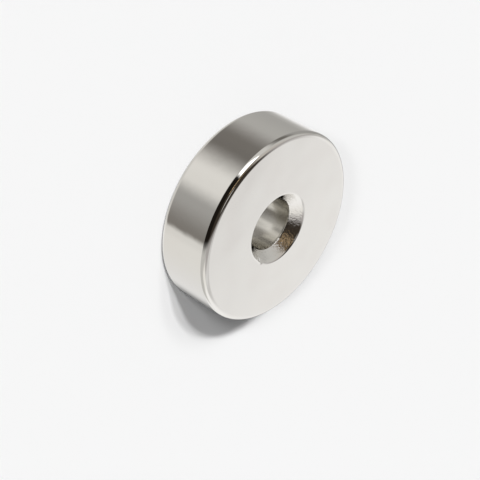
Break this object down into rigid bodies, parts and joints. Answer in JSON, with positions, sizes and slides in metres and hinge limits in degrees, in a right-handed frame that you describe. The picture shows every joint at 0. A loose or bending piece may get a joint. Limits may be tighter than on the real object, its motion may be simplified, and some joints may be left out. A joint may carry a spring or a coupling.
{
  "type": "ring magnet",
  "caption": "Nickel-plated ring magnet with a countersunk screw hole on its axis; holds steel, or screws to wood or metal as a catch or tool holder.",
  "frame": {"origin": "centre of the plain back face, where the magnet rests", "axes": "+Z along the ring's axis, out of the countersunk front face; +X and +Y are any two radii at a right angle"},
  "size_m": [0.032, 0.032, 0.0095],
  "materials": {
    "nickel_plating": "bright nickel plating over ground sintered neodymium-iron-boron: mirror-like with a faint orange peel on the faces and rim, draw streaks in the bore, finer grain and a warm tint in the countersink"
  },
  "bodies": {
    "root": {"ring_magnet": "nickel_plating"}
  },
  "joints": []
}
